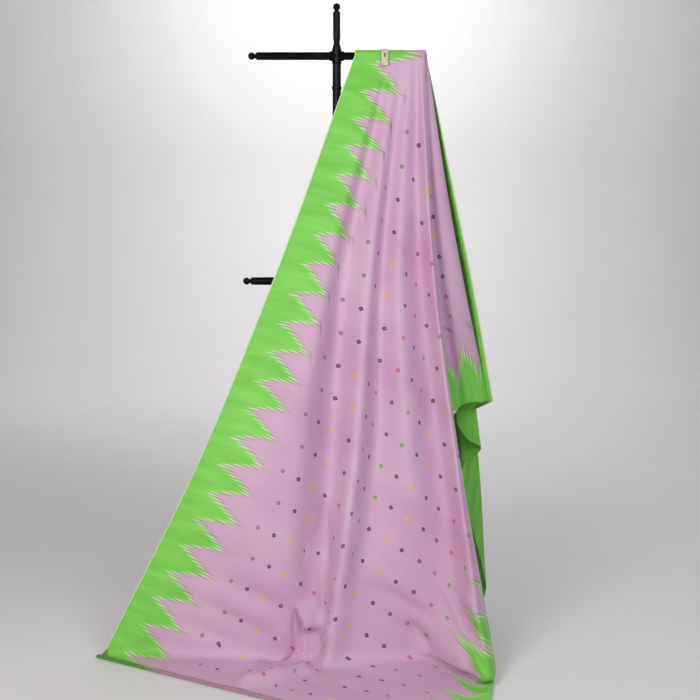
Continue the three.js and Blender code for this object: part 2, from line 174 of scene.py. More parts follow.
# Angles in degrees; distances in mm from the point, carried back to the arm from the four heights
FLAT_PLACES = [
    FlatPlace("left selvedge", (0, 0, 0, 0, 0), (178, 213, 229, 274), 1988),
    FlatPlace("border", (15.1, 7.2, 6, 6.3, 7.5), (180, 207, 237, 243), 1988),
    FlatPlace("seam ridge", (29.3, 16, 12.4, 13.1, 15.6), (195, 211, 226, 226), 1988),
    FlatPlace("first valley", (34.3, 21, 17.7, 18.2, 19), (204, 215, 219, 191), 1988),
    FlatPlace("first ridge", (37.5, 27, 22.3, 21.2, 23.4), (211, 214, 220, 216), 1988),
    FlatPlace("second valley", (43.4, 33.5, 27.3, 26.3, 24.9), (228, 214, 216, 212), 1988),
    FlatPlace("second ridge", (47.4, 38, 30.4, 30.7, 30.9), (242, 216, 218, 213), 1988),
    FlatPlace("third valley", (50.8, 44.6, 37.5, 36.4, 34.6), (257, 225, 225, 182), 1988),
    FlatPlace("third ridge", (52.6, 47.2, 40.9, 38.7, 37.4), (265, 227, 231, 181), 1988),
    FlatPlace("floor corner", (53.9, 48, 41.7, 39.5, 38.4), (272, 230, 231, 182), 1988),
    FlatPlace("tucked edge", (54.7, 50, 44.5, 42.5, 41.5), (276, 232, 224, 190), 2020),
    FlatPlace("tucked wall", (66, 56, 52, 51, 51), (226, 224, 218, 200), 2080),
    FlatPlace("tucked valley", (72, 66, 64, 64, 64), (216, 215, 210, 206), 2150),
    straight("strip root", 83.5, 216, 2221),
    straight("strip left", 86, 216, 2221),
    straight("strip crown", 88, 216, 2221),
    straight("strip right", 91, 216, 2221),
    straight("strip back", 93, 216, 2221),
    straight("curl", 97, 230, 2226),
    straight("lobe", 102, 240, 2226),
    straight("lobe edge", 106, 260, 2226),
    straight("lobe back", 112, 290, 2226),
    straight("back edge", 120, 330, 2226),
    straight("back ridge", 132, 368, 2226),
    straight("back turn", 146, 368, 2226),
    straight("back return", 158, 368, 2226),
    straight("back crest", 168, 368, 2226),
    straight("line root", 175, 368, 2226),
    straight("right selvedge", 180, 368, 2226),
]


class Crease(NamedTuple):
    """One crease pressed into the cloth, as a line on its front, or on the floor seen from above."""

    name: str
    start: tuple
    end: tuple
    width: float
    rise: float
    sharp: float


# Creases in mm: x and z of both ends, the half width, and the rise towards the front (minus goes in)
# sharp is 0 for a soft round crease and 1 for a pressed edge
CREASES = [
    Crease("valley bottom", (-34, 400), (-28, 150), 30, -34, 1.0),
    Crease("valley left side", (-84, 360), (-80, 170), 30, -12, 0.3),
    Crease("ridge edge", (-14, 392), (-10, 190), 12, 13, 0.7),
    Crease("ridge jog", (-34, 186), (-18, 208), 9, 8, 0.9),
    Crease("corner fold", (296, 207), (371, 43), 12, 15, 0.7),
    Crease("corner fold shade", (318, 196), (392, 60), 13, -17, 0.6),
    Crease("corner fold light", (345, 200), (410, 90), 14, 15, 0.6),
    Crease("corner low crease", (107, 199), (262, 119), 20, -13, 0.5),
    Crease("corner triangle", (204, 96), (276, 22), 20, -22, 0.6),
    Crease("low ripple one", (-330, 300), (-150, 236), 24, -5, 0.2),
    Crease("low ripple two", (-360, 226), (-140, 140), 24, -7, 0.2),
    Crease("low ripple three", (-420, 168), (-190, 76), 22, -7, 0.2),
    Crease("low ripple four", (-470, 106), (-260, 36), 20, -6, 0.2),
]

# The crumple over the sharp fold point: x, z and rise towards the front of its corners, in mm
CRUMPLE_CORNERS = {
    "apex": (-116, 156, 0),
    "shoulder": (-54, 164, 4),
    "left rim": (-134, 70, 4),
    "groove": (-104, 92, -30),
    "groove foot": (-104, 40, -20),
    "lip left": (-84, 90, 32),
    "lip right": (-34, 92, 22),
    "box left": (-88, 72, 6),
    "box right": (-36, 70, 6),
    "right rim": (-8, 90, 0),
    "right foot": (-26, 8, 0),
    "point": (-86, 6, 20),
    "left foot": (-128, 6, 0),
}
CRUMPLE_FACETS = [
    ("apex", "groove", "left rim"),
    ("apex", "lip left", "groove"),
    ("apex", "shoulder", "lip left"),
    ("shoulder", "lip right", "lip left"),
    ("shoulder", "right rim", "lip right"),
    ("groove", "groove foot", "left rim"),
    ("groove", "lip left", "box left"),
    ("groove", "box left", "groove foot"),
    ("lip left", "lip right", "box left"),
    ("lip right", "box right", "box left"),
    ("lip right", "right rim", "box right"),
    ("box left", "point", "groove foot"),
    ("box left", "box right", "point"),
    ("box right", "right foot", "point"),
    ("box right", "right rim", "right foot"),
    ("groove foot", "point", "left foot"),
    ("groove foot", "left foot", "left rim"),
]

# Creases of the lying cloth in mm: x and y of both ends, the half width and the rise from the floor
FLOOR_CREASES = [
    Crease("lying pleat", (-84, -372), (-222, -452), 22, 36, 0.7),
    Crease("lying pleat end", (-203, -331), (-240, -470), 20, 22, 0.6),
    Crease("fold point", (-92, -352), (-84, -392), 14, 18, 0.9),
    Crease("small pleat", (-60, -380), (-20, -470), 18, 7, 0.6),
]

# How a crease fades to its ends, and how fast a pressed edge falls away
CREASE_END = 0.12
CREASE_TAPER = 0.7
PRESSED_FALL = 1.6

# The lip of cloth that leans out over the floor at the right, in metres, from fold to fold and row to row
LIP_FOLDS = (5.9, 6.8, 8.7, 9.0)
LIP_LEAN = (0, 1, 1, 0.3)
LIP_REACH = 0.056
LIP_HEIGHT = 0.050
LIP_FADE = np.array((1.0, 0.95, 0.25, 0.0, 0.0, 0.0))[:, None]

# The rolled edge at the turn, and the rows before it in which the floor's creases fade
ROLL_HEIGHT = 0.0050
ROLL_WIDTH = 0.012
TURN_FADE_ROWS = 4


class Ripple(NamedTuple):
    """Soft uneven folds over the flat cloth, in metres."""

    across: float
    along: float
    seed: float
    rise: float


WEFT_RIPPLE = Ripple(0.42, 0.062, 3.1, 0.0060)
DROP_RIPPLE = Ripple(0.085, 0.75, 7.7, 0.0050)
SMALL_RIPPLE = Ripple(0.055, 0.080, 12.3, 0.0012)

# Shares of the drop in which the ripples start, and the weft's ripples grow from their least
RIPPLES_START_BY = 0.05
WEFT_GROWS_FROM = 0.15
WEFT_GROWS_OVER = 0.55
WEFT_LEAST = 0.25

# How many folds past the floor's corner the front's creases fade over
FRONT_FADE = 0.5


def course(levels, share, heights=HEIGHTS):
    """Smooth course down each column through its values at the given heights."""
    gap = np.diff(heights)
    slope = np.diff(levels, axis=0) / gap[:, None]
    above, below = gap[:-1, None], gap[1:, None]
    middle = (slope[:-1] * below + slope[1:] * above) / (above + below)
    tangent = np.vstack([slope[:1], middle, slope[-1:]])
    column = np.arange(levels.shape[1])
    part = np.searchsorted(heights[1:-1], share, side="right")
    span = gap[part]
    s = (share - heights[part]) / span
    cubic = 2 * s**3 - 3 * s**2
    start = (1 + cubic) * levels[part, column] + (s**3 - 2 * s**2 + s) * span * tangent[part, column]
    end = levels[part + 1, column], tangent[part + 1, column]
    return start - cubic * end[0] + (s**3 - s**2) * span * end[1]


def steps_down(points):
    """Length of each step down the columns."""
    return np.linalg.norm(np.diff(points, axis=0), axis=-1)


def across(place, values):
    """A value given for each fold, read between the folds."""
    return np.interp(place, np.arange(len(values)), values)


def fold_points(index, share):
    """Places of the folds numbered by index, at each share of the drop: rows by columns by x, y, z."""
    inside = np.clip(index, 0, len(FOLDS) - 1)
    levels = np.array([(row.arm, row.high, row.low, row.hem) for row in FOLDS])[inside] * MM
    foot = np.array([row.foot for row in FOLDS])[inside] * MM
    x, y = [course(levels[..., axis].T, share) for axis in (0, 1)]
    return np.stack([x, y, ARM_HEIGHT * (1 - share) + foot * share], -1)


def hanging(place, share):
    """Points of the hanging cloth, through its folds from left to right at each share of the drop."""
    left = np.clip(np.floor(place).astype(int), 0, len(FOLDS) - 2)
    w = (place - left)[None, :, None]
    p1 = fold_points(left, share)
    p2 = fold_points(left + 1, share)
    p0 = np.where((left > 0)[None, :, None], fold_points(left - 1, share), 2 * p1 - p2)
    last = left + 2 < len(FOLDS)
    p3 = np.where(last[None, :, None], fold_points(left + 2, share), 2 * p2 - p1)
    pairs = ((p0, p1), (p1, p2), (p2, p3))
    g0, g1, g2 = [np.maximum(np.linalg.norm(b - a, axis=-1, keepdims=True) ** 0.5, 1e-4) for a, b in pairs]
    t1 = ((p1 - p0) / g0 - (p2 - p0) / (g0 + g1) + (p2 - p1) / g1) * g1
    t2 = ((p2 - p1) / g1 - (p3 - p1) / (g1 + g2) + (p3 - p2) / g2) * g1
    cubic = 2 * w**3 - 3 * w**2
    return (1 + cubic) * p1 + (w**3 - 2 * w**2 + w) * t1 - cubic * p2 + (w**3 - w**2) * t2


def column_places():
    """Places of the mesh's columns among the folds: close together in front, fewer in the hidden folds."""
    places = [0.0]
    for i, (fold, following) in enumerate(zip(FOLDS, FOLDS[1:])):
        gap = math.dist(fold.hem, following.hem) * MM
        width = CREASED_COLUMN_WIDTH if fold.name in CREASED_AFTER else COLUMN_WIDTH
        count = max(FEWEST_COLUMNS, math.ceil(gap / width)) if i < LAST_ON_FLOOR else HIDDEN_COLUMNS
        places += [i + step / count for step in range(1, count + 1)]
    return np.array(places)


def flat_angles(place, share):
    """Angle of each point on the flat cloth, shared out by the length of cloth between the folds."""
    levels = []
    for number, height in enumerate(FAN_HEIGHTS):
        row = hanging(place, np.full((1, len(place)), height))[0]
        length = np.r_[0, np.cumsum(steps_down(row))]
        at_folds = np.interp(np.arange(len(FOLDS)), place, length)
        levels.append(np.interp(length, at_folds, [row.angles[number] for row in FLAT_PLACES]))
    return np.radians(course(np.array(levels), share, FAN_HEIGHTS))


def ease(place, share):
    """Length of woven cloth in each length of the drawn drop."""
    face = course(np.repeat(np.array(FACE_EASE)[:, None], len(place), 1), share)
    strip = np.clip((place - LAST_ON_FLOOR) / (STRIP_ROOT - LAST_ON_FLOOR), 0, 1)
    return face * (1 - strip) + STRIP_EASE * strip


def row_shares(rows):
    """Even shares gathered towards the foot, where the cloth is creased."""
    even = np.arange(rows + 1)[:, None] / rows
    return even + ROW_GATHER * even * (1 - even)


def turn_points(place, height):
    """Where each column reaches the line on which the cloth turns under."""
    share = (np.clip(place / LAST_ON_FLOOR, 0, 1) ** TURN_CURVE)[:, None]
    flat = TURN_LEFT + (TURN_RIGHT - TURN_LEFT) * share
    return np.column_stack([flat, np.full(len(place), height)])


def fallen(surface, place, height, rows, floor_rows):
    """Columns of one layer from the arm to the turn: down, round the bend and along the floor."""
    foot = surface(place, np.ones((1, len(place))))[0]
    foot[:, 2] = height
    turn = turn_points(place, height)
    run = turn - foot
    length = np.linalg.norm(run, axis=1, keepdims=True)
    bend = np.minimum(BEND_RADIUS, BEND_SHARE * length[:, 0])
    share = row_shares(rows) * (1 - (height + bend) / ARM_HEIGHT)
    drop = surface(place, share)
    end = foot + run / np.maximum(length, 1e-6) * bend[:, None]
    t = (np.arange(1, BEND_ROWS + 1) / BEND_ROWS)[:, None, None]
    curve = (1 - t) ** 2 * drop[-1] + 2 * t * (1 - t) * foot + t**2 * end
    along = 1 - (1 - np.arange(1, floor_rows + 1) / floor_rows)[:, None, None] ** FLOOR_GATHER
    return drop, np.concatenate([curve, end + (turn - end) * along]), share


def lining(place, share):
    """The second layer keeps the face's folds, a little narrower and behind it."""
    points = hanging(place * LINING_SHARE, share)
    near = np.clip(share / LINING_BACK_BY, 0, 1)
    near = near * near * (3 - 2 * near)
    points[..., 1] += (FACE_ROUND_ARM - LINING_ROUND_ARM) * (1 - near) + LINING_GAP * near
    return points


def hooked(front, radius):
    """Over the arm from the front, round its top and down behind it: the rows after the front one."""
    over = 2 * CAP_ROWS
    rows = []
    for step in range(1, over + HOOK_DROP_ROWS + 1):
        angle = math.pi * min(1, step / over)
        reach = -front[:, 1] if angle < math.pi / 2 else np.full(len(front), radius)
        drop = HOOK_LENGTH * max(0, step - over) / HOOK_DROP_ROWS
        height = ARM_HEIGHT + radius * math.sin(angle) - drop
        rows.append(np.column_stack([front[:, 0], -reach * math.cos(angle), np.full(len(front), height)]))
    return np.array(rows)


def capped(points):
    """Round the arm's tip the cloth leans in over the ball and nearly closes above it."""
    rows = []
    for step in range(1, CAP_ROWS + 1):
        angle = step / CAP_ROWS * math.pi / 2
        share = CAP_CLOSES * (1 - math.cos(angle))
        x = points[:, 0] + (ARM_REACH - CAP_INSET - points[:, 0]) * share
        height = ARM_HEIGHT + FACE_ROUND_ARM * math.sin(angle)
        rows.append(np.column_stack([x, points[:, 1] * (1 - share), np.full(len(points), height)]))
    return np.array(rows)


def pressed(at, creases):
    """Height of all the creases at each point, fading to the ends of each."""
    total = np.zeros(at.shape[:-1])
    for crease in creases:
        start, end = np.array(crease.start) * MM, np.array(crease.end) * MM
        run = end - start
        along = np.clip(((at - start) @ run) / (run @ run), 0, 1)
        reach = np.linalg.norm(at - start - along[..., None] * run, axis=-1) / (crease.width * MM)
        middle = np.sin(math.pi * (CREASE_END + (1 - 2 * CREASE_END) * along)) ** CREASE_TAPER
        profile = (1 - crease.sharp) * np.exp(-(reach**2)) + crease.sharp * np.exp(-PRESSED_FALL * reach)
        total += crease.rise * MM * profile * middle
    return total


def crumpled(at):
    """Height of the crumple's flat facets at each point."""
    total = np.zeros(at.shape[:-1])
    for names in CRUMPLE_FACETS:
        corners = np.array([CRUMPLE_CORNERS[name] for name in names]) * MM
        edges = (corners[1:, :2] - corners[0, :2]).T
        shares = (at - corners[0, :2]) @ np.linalg.inv(edges).T
        inside = (shares >= -1e-9).all(-1) & (shares.sum(-1) <= 1 + 1e-9)
        height = corners[0, 2] + shares @ (corners[1:, 2] - corners[0, 2])
        total = np.where(inside, height, total)
    return total


def lip(place, height):
    """How far the cloth leans out over the floor at the right."""
    lean = np.interp(place, LIP_FOLDS, LIP_LEAN, left=0, right=0)
    return LIP_REACH * lean * np.exp(-(height / LIP_HEIGHT) ** 2)


def rippled(flat, ripple):
    """Height of one ripple at each place of the flat cloth, from smooth seeded noise."""
    x, y = flat[..., 0] / ripple.across, flat[..., 1] / ripple.along
    values = [noise.noise(Vector((a, b, ripple.seed))) for a, b in zip(x.ravel(), y.ravel())]
    return np.array(values).reshape(x.shape) * ripple.rise


def ripples(flat, share):
    """Soft folds of the hanging cloth, along its weft and down its drop, in metres towards the front."""
    low = np.clip((share - WEFT_GROWS_FROM) / WEFT_GROWS_OVER, 0, 1)
    weft = rippled(flat, WEFT_RIPPLE) * (WEFT_LEAST + (1 - WEFT_LEAST) * low)
    total = weft + rippled(flat, DROP_RIPPLE) + rippled(flat, SMALL_RIPPLE)
    return total * np.clip(share / RIPPLES_START_BY, 0, 1)


def hung(place, share):
    """The hanging cloth: its folds, angles and places on the flat cloth, its front and its foot's lean."""
    folds = hanging(place, share)
    angle = flat_angles(place, share)
    woven = ease(place, share)
    centre = across(place, [row.centre * MM for row in FLAT_PLACES])
    distances = np.array([row.reach for row in FLAT_PLACES]).T * MM
    start = course(np.array([across(place, row) for row in distances]), share, REACH_HEIGHTS)
    down = np.cumsum(steps_down(folds) * (woven[1:] + woven[:-1]) / 2, 0)
    reach = start + np.vstack([np.zeros(len(place)), down])
    flat = np.stack([reach * np.sin(angle), centre - reach * np.cos(angle)], -1)
    face = folds[..., [0, 2]]
    seen = np.clip((LAST_ON_FLOOR + FRONT_FADE - place) / FRONT_FADE, 0, 1)
    shift = (ripples(flat, share) + pressed(face, CREASES) + crumpled(face)) * seen
    leaning = lip(place, np.maximum(folds[..., 2] - BEND_RADIUS, 0))
    front = folds.copy()
    front[..., 1] -= shift + leaning
    return folds, angle, flat, front, leaning[-1]


def laid(lying, moved, leaning):
    """The lying cloth with its creases, rolled edge and lip, joined to the foot that was moved."""
    row = np.arange(len(lying))[:, None]
    fade = np.minimum(1, row / BEND_ROWS) * np.minimum(1, (len(lying) - 1 - row) / TURN_FADE_ROWS)
    lying[..., 2] += np.maximum(0, pressed(lying[..., :2], FLOOR_CREASES) * fade)
    to_turn = np.linalg.norm(lying[..., :2] - lying[-1:, :, :2], axis=-1)
    lying[..., 2] += ROLL_HEIGHT * np.exp(-((to_turn / ROLL_WIDTH) ** 2))
    lying[..., 1] += (moved + leaning) * np.linspace(1, 0, len(lying))[:, None]
    lying[:BEND_ROWS, :, 1] -= leaning * LIP_FADE
    return lying


def lengths_down(points):
    """Length from the first row to each later one, and the same as a share of the whole."""
    length = np.cumsum(steps_down(points), 0)[..., None]
    return length, length / length[-1]


def sari_grid():
    """Middle surface of the sari as a ragged grid: its points, and their places on the flat cloth."""
    place = column_places()
    count = len(place)
    hooks = 2 * CAP_ROWS + HOOK_DROP_ROWS
    floor = place <= LAST_ON_FLOOR + 1e-9
    over = place <= LAST_OVER_ARM + 1e-9
    tip = ~over & (place <= LAST_ROUND_TIP + 1e-9)
    lead = hooks + HANG_ROWS + 1
    edge = lead + BEND_ROWS + FLOOR_ROWS
    rows = edge + 1 + UNDER_ROWS + BEND_ROWS + LINING_ROWS + 1 + hooks
    points = np.full((rows, count, 3), np.nan)
    flat = np.full((rows, count, 2), np.nan)

    def lay(row, columns, block, flat_block):
        points[row:row + len(block), columns] = block
        flat[row:row + len(block), columns] = flat_block

    # The drop of every column
    share = np.repeat(row_shares(HANG_ROWS), count, 1)
    face_height = UNDER_LAYER_HEIGHT + FLOOR_LAYER_GAP
    _, lying, share[:, floor] = fallen(hanging, place[floor], face_height, HANG_ROWS, FLOOR_ROWS)
    folds, angle, hang_flat, front, leaning = hung(place, share)
    lay(hooks, slice(None), front, hang_flat)

    # The lying part of those that reach the floor, to the turn, where the flat cloth's first weft lies
    foot = front[-1:, floor]
    lying = laid(lying, foot[0, :, 1] - folds[-1, floor, 1], leaning[floor])
    turn = turn_points(place[floor], 0)
    turn_flat = np.column_stack([np.linalg.norm(turn[:, :2] - TURN_LEFT, axis=1), np.zeros(len(turn))])
    _, part = lengths_down(np.concatenate([foot, lying]))
    lay(lead, floor, lying, hang_flat[-1, floor] * (1 - part) + turn_flat * part)

    # The rolled edge, then the second layer back along the floor, up behind the face and over the arm
    under_drop, under_lying, _ = fallen(lining, place[floor], UNDER_LAYER_HEIGHT, LINING_ROWS, UNDER_ROWS)
    back = np.concatenate([under_lying[::-1], under_drop[::-1]])
    back = np.concatenate([back[:1] + EDGE_ROLL, back, hooked(under_drop[0], LINING_ROUND_ARM)])
    length, up = lengths_down(np.concatenate([lying[-1:], back]))
    across_top = hang_flat[0, floor][:, :1] * up + turn_flat[:, :1] * (1 - up)
    lay(edge, floor, back, np.concatenate([across_top, -length], -1))

    # Above the arm's row: the hook over the arm, or the cap round its tip
    cap = capped(front[0, tip])
    hook = hooked(front[0, over], FACE_ROUND_ARM)
    for block, columns in ((hook, over), (cap, tip)):
        climb, _ = lengths_down(np.concatenate([front[:1, columns], block]))
        away = np.stack([-np.sin(angle[0, columns]), np.cos(angle[0, columns])], -1)
        lay(hooks - len(block), columns, block[::-1], (hang_flat[0, columns] + climb * away)[::-1])
    return points, flat


def mesh_from_grid(name, points, flat):
    """Mesh of a ragged grid of points, with the flat cloth's metres as its UV map."""
    present = ~np.isnan(points[..., 0])
    number = np.full(present.shape, -1)
    number[present] = np.arange(present.sum())
    quads = np.stack([number[:-1, :-1], number[1:, :-1], number[1:, 1:], number[:-1, 1:]], -1)
    quads = quads[(quads >= 0).all(-1)]
    mesh = bpy.data.meshes.new(name)
    mesh.from_pydata(points[present].tolist(), [], quads.tolist())
    layer = mesh.uv_layers.new(name=FLAT_CLOTH)
    corner = np.zeros(len(mesh.loops), int)
    mesh.loops.foreach_get("vertex_index", corner)
    layer.data.foreach_set("uv", flat[present][corner].ravel())
    mesh.shade_smooth()
    return mesh


def link(piece):
    """Put a piece in the scene."""
    bpy.context.scene.collection.objects.link(piece)
    return piece


def linear(colour):
    """Linear light of an sRGB hex colour."""
    channels = [int(colour[i:i + 2], 16) / 255 for i in (1, 3, 5)]
    return tuple(c / 12.92 if c <= 0.04045 else ((c + 0.055) / 1.055) ** 2.4 for c in channels)


def feed(node, inputs):
    """Give a node's inputs their values, or links from other nodes' outputs."""
    for name, source in inputs.items():
        if isinstance(source, bpy.types.NodeSocket):
            node.id_data.links.new(source, node.inputs[name])
        else:
            node.inputs[name].default_value = source


def add_node(tree, kind, inputs=None, **settings):
    """Add a node with its settings and its inputs."""
    node = tree.nodes.new(kind)
    for key, value in settings.items():
        setattr(node, key, value)
    feed(node, inputs or {})
    return node


def blank_material(name):
    """A material with only its output and its Principled surface."""
    material = bpy.data.materials.new(name)
    material.use_nodes = True
    tree = material.node_tree
    tree.nodes.clear()
    surface = add_node(tree, "ShaderNodeBsdfPrincipled")
    add_node(tree, "ShaderNodeOutputMaterial", {"Surface": surface.outputs["BSDF"]})
    return material, tree, surface


def steps(value, *moves):
    """A run of arithmetic on one value: each move is an operation and its other values."""
    for operation, *others in moves:
        inputs = {0: value} | {i + 1: other for i, other in enumerate(others)}
        value = add_node(value.id_data, "ShaderNodeMath", inputs, operation=operation).outputs[0]
    return value


def soft_step(value, low, high, start=0.0, end=1.0):
    """Ease from start to end as the value goes from low to high."""
    inputs = {"Value": value, "From Min": low, "From Max": high, "To Min": start, "To Max": end}
    node = add_node(value.id_data, "ShaderNodeMapRange", inputs, interpolation_type="SMOOTHSTEP")
    return node.outputs["Result"]


def between(value, zone):
    """Ease in and out again as the value crosses a zone: where it starts, is full, fades and ends."""
    return steps(soft_step(value, *zone[:2]), ("MULTIPLY", soft_step(value, *zone[2:], 1.0, 0.0)))


def blend(share, *colours):
    """Blend two colours by a share."""
    first, second = [c if isinstance(c, bpy.types.NodeSocket) else (*c, 1) for c in colours]
    inputs = {MIX_SHARE: share, MIX_FIRST: first, MIX_SECOND: second}
    return add_node(share.id_data, "ShaderNodeMix", inputs, data_type="RGBA").outputs[MIX_RESULT]


def flat_noise(place, grain, detail=2.0):
    """Noise over the flat cloth from -0.5 to 0.5, its grain given in metres across and along."""
    scale = (1 / grain[0], 1 / grain[1], 1.0)
    mapped = add_node(place.id_data, "ShaderNodeMapping", {"Vector": place, "Scale": scale}).outputs["Vector"]
    return steps(solid_noise(mapped, 1.0, detail), ("SUBTRACT", 0.5))


def solid_noise(place, scale, detail):
    """Noise through space from 0 to 1, its scale in grains for each metre."""
    inputs = {"Vector": place, "Scale": scale, "Detail": detail}
    return add_node(place.id_data, "ShaderNodeTexNoise", inputs).outputs["Fac"]


def raise_surface(surface, height, strength=1.0):
    """Bump a surface by a height in metres."""
    inputs = {"Height": height, "Strength": strength, "Distance": 1.0}
    feed(surface, {"Normal": add_node(surface.id_data, "ShaderNodeBump", inputs).outputs["Normal"]})


# Sockets of the mix node that blends colours
MIX_SHARE, MIX_FIRST, MIX_SECOND, MIX_RESULT = 0, 6, 7, 2

# Motifs on the flat cloth, in metres: where the columns and the rows start
MOTIF_START = 0.264
ROW_START = 0.005

# Shares of half a motif at which its rim and its pale centre fade
MOTIF_RIM = (0.86, 1.14)
MOTIF_CENTRE = (0.16, 0.40)

# The border's flames in metres: where they start along the cloth and across it, their tips and steps
FLAME_START = -0.012
FLAME_FOOT = 0.080
FLAME_TIP = 0.200
FLAME_STEPS = 10
FLAME_SIDE = 0.42
FLAME_FEATHER = 0.017
FLAME_JITTER = 0.040
FLAME_EDGE = 0.009

# The right border's flames have a pitch of their own, and grow shorter along the cloth
RIGHT_DRIFT = 0.0227
RIGHT_START = -0.017
RIGHT_SHORTENS = -0.150

# Zones in metres: pale and olive yarn in from the flames' mean edge, and the dark line by the selvedge
PALE_ZONE = (-0.036, -0.008, -0.004, 0.014)
OLIVE_ZONE = (-0.012, 0.010, 0.012, 0.044)
SELVEDGE_LINE = (0.0035, 0.0055, 0.006, 0.010)
SELVEDGE_RIM = (0.002, 0.0045)
# Width in metres of the painted shade along the turn on the floor
TURN_SHADE_BAND = (0.006, 0.011)

# How far along the cloth its right edge is seen; the layers behind hang past it and have no rim of their own
EDGE_SEEN_TO = 2.30

# Grains of the weave in metres, across and along: slubs, clouds, bands of dye, and bundles of dyed wefts
WEFT_SLUB = (0.30, 0.0035)
WARP_SLUB = (0.0040, 0.40)
CLOUD = (0.35, 0.22)
DYE_BAND = (0.22, 0.034)
BUNDLE = (0.9, 0.011)
WEFT_THREAD = (0.9, 0.0022)

# Puckers where the border's weft is joined to the body's, at the flame tips, and where along they fade in
PUCKER_PLACE = 0.218
PUCKER_HEIGHT = -0.016
PUCKER_SLANT = 0.5
PUCKER_WIDTH = 0.006
PUCKER_LENGTH = 0.015
PUCKER_DEPTH = 0.0042
PUCKERS_FROM = (0.7, 1.2)

# A silk thread is about 0.25 mm, too fine to show, so the ribs are drawn every 2.4 mm
DRAWN_RIB = 0.0024
RIB_DEPTH = 0.00006
WEFT_SLUB_DEPTH = 0.0005
WARP_SLUB_DEPTH = 0.0003
MOTIF_DEPTH = 0.0003

FLAT_CLOTH = "flat_cloth"

# Threads of the motifs from the left border to the right one: leaf, ink, amber, plum, rose red and indigo
MOTIF_THREADS = (
    "#74805A", "#2B2536", "#EDAF45", "#5C2F57", "#CC5A63", "#4A3C97", "#6BA33F",
    "#2B2536", "#EDAF45", "#2B2536", "#6A2F5E", "#CC5A63", "#6BA33F",
)


def flame_edge(place, v, pitch, length):
    """Where the flames' mean edge and feathered edge lie at each weft, and the tongues between them."""
    phase = steps(v, ("SUBTRACT", FLAME_START), ("DIVIDE", pitch), ("FRACT",))
    slope = steps(phase, ("DIVIDE", 1 - FLAME_SIDE), ("MINIMUM", 1.0))
    side = steps(phase, ("SUBTRACT", 1 - FLAME_SIDE), ("DIVIDE", FLAME_SIDE), ("MAXIMUM", 0.0))
    rise = steps(side, ("SUBTRACT", slope), ("ADD", 1.0), ("MULTIPLY", FLAME_TIP - FLAME_FOOT))
    rise = steps(rise, ("MULTIPLY", length), ("ADD", FLAME_FOOT))
    # Wefts are dyed in bundles, so the edge is drawn out in tongues: 1 in a tongue, -1 between two
    uneven = steps(flat_noise(place, BUNDLE, 1.0), ("MULTIPLY", 1.1))
    counted = steps(v, ("SUBTRACT", FLAME_START), ("DIVIDE", pitch / FLAME_STEPS))
    tongue = steps(counted, ("ADD", uneven), ("MULTIPLY", TURN), ("COSINE",))
    jitter = steps(flat_noise(place, WEFT_THREAD, 1.0), ("MULTIPLY", FLAME_JITTER))
    feather = steps(tongue, ("MULTIPLY", FLAME_FEATHER), ("ADD", jitter))
    return rise, steps(rise, ("ADD", feather)), tongue


def off_row(value, start, pitch):
    """Number of the nearest row and the distance from it, for rows at one pitch."""
    row = steps(value, ("SUBTRACT", start), ("DIVIDE", pitch))
    nearest = steps(row, ("ROUND",))
    return nearest, steps(row, ("SUBTRACT", nearest), ("MULTIPLY", pitch))


def motif_parts(u, v, sizes):
    """Share of motif and of its pale centre at each point, and the motif's column."""
    row, dv = off_row(v, ROW_START, sizes.motif_row)
    odd = steps(row, ("MODULO", 2.0), ("ABSOLUTE",))
    shift = steps(odd, ("MULTIPLY", sizes.motif_column / 2), ("ADD", MOTIF_START))
    column, du = off_row(u, shift, sizes.motif_column)
    # A lozenge with rounded sides: half way between a diamond and a circle
    diamond = steps(du, ("ABSOLUTE",), ("ADD", steps(dv, ("ABSOLUTE",))))
    circle = steps(du, ("POWER", 2.0), ("ADD", steps(dv, ("POWER", 2.0))), ("SQRT",))
    away = steps(diamond, ("ADD", circle), ("MULTIPLY", 0.5), ("DIVIDE", sizes.motif_size / 2))
    first = steps(column, ("GREATER_THAN", -0.5))
    last = steps(column, ("LESS_THAN", len(MOTIF_THREADS) - 0.5))
    motif = steps(soft_step(away, *MOTIF_RIM, 1.0, 0.0), ("MULTIPLY", first), ("MULTIPLY", last))
    return motif, soft_step(away, *MOTIF_CENTRE, 1.0, 0.0), column


def thread_colour(tree, column):
    """Colour of the motif's thread in each column."""
    ramp = add_node(tree, "ShaderNodeValToRGB")
    ramp.color_ramp.interpolation = "CONSTANT"
    elements = ramp.color_ramp.elements
    for number, colour in enumerate(MOTIF_THREADS):
        share = number / len(MOTIF_THREADS)
        stop = elements[number] if number < 2 else elements.new(share)
        stop.position = share
        stop.color = (*linear(colour), 1)
    feed(ramp, {"Fac": steps(column, ("ADD", 0.5), ("DIVIDE", len(MOTIF_THREADS)))})
    return ramp.outputs["Color"]


def pucker_height(v, from_edge, pitch):
    """Dents at the flame tips, only where the cloth is gathered, in the upper part of the drop."""
    _, down = off_row(v, PUCKER_HEIGHT, pitch)
    along = steps(down, ("DIVIDE", PUCKER_LENGTH), ("POWER", 2.0))
    slanted = steps(from_edge, ("SUBTRACT", PUCKER_PLACE), ("ADD", steps(down, ("MULTIPLY", PUCKER_SLANT))))
    aside = steps(slanted, ("DIVIDE", PUCKER_WIDTH), ("POWER", 2.0))
    dent = steps(along, ("ADD", aside), ("MULTIPLY", -1.0), ("EXPONENT",), ("MULTIPLY", -PUCKER_DEPTH))
    return steps(dent, ("MULTIPLY", soft_step(v, *PUCKERS_FROM)))


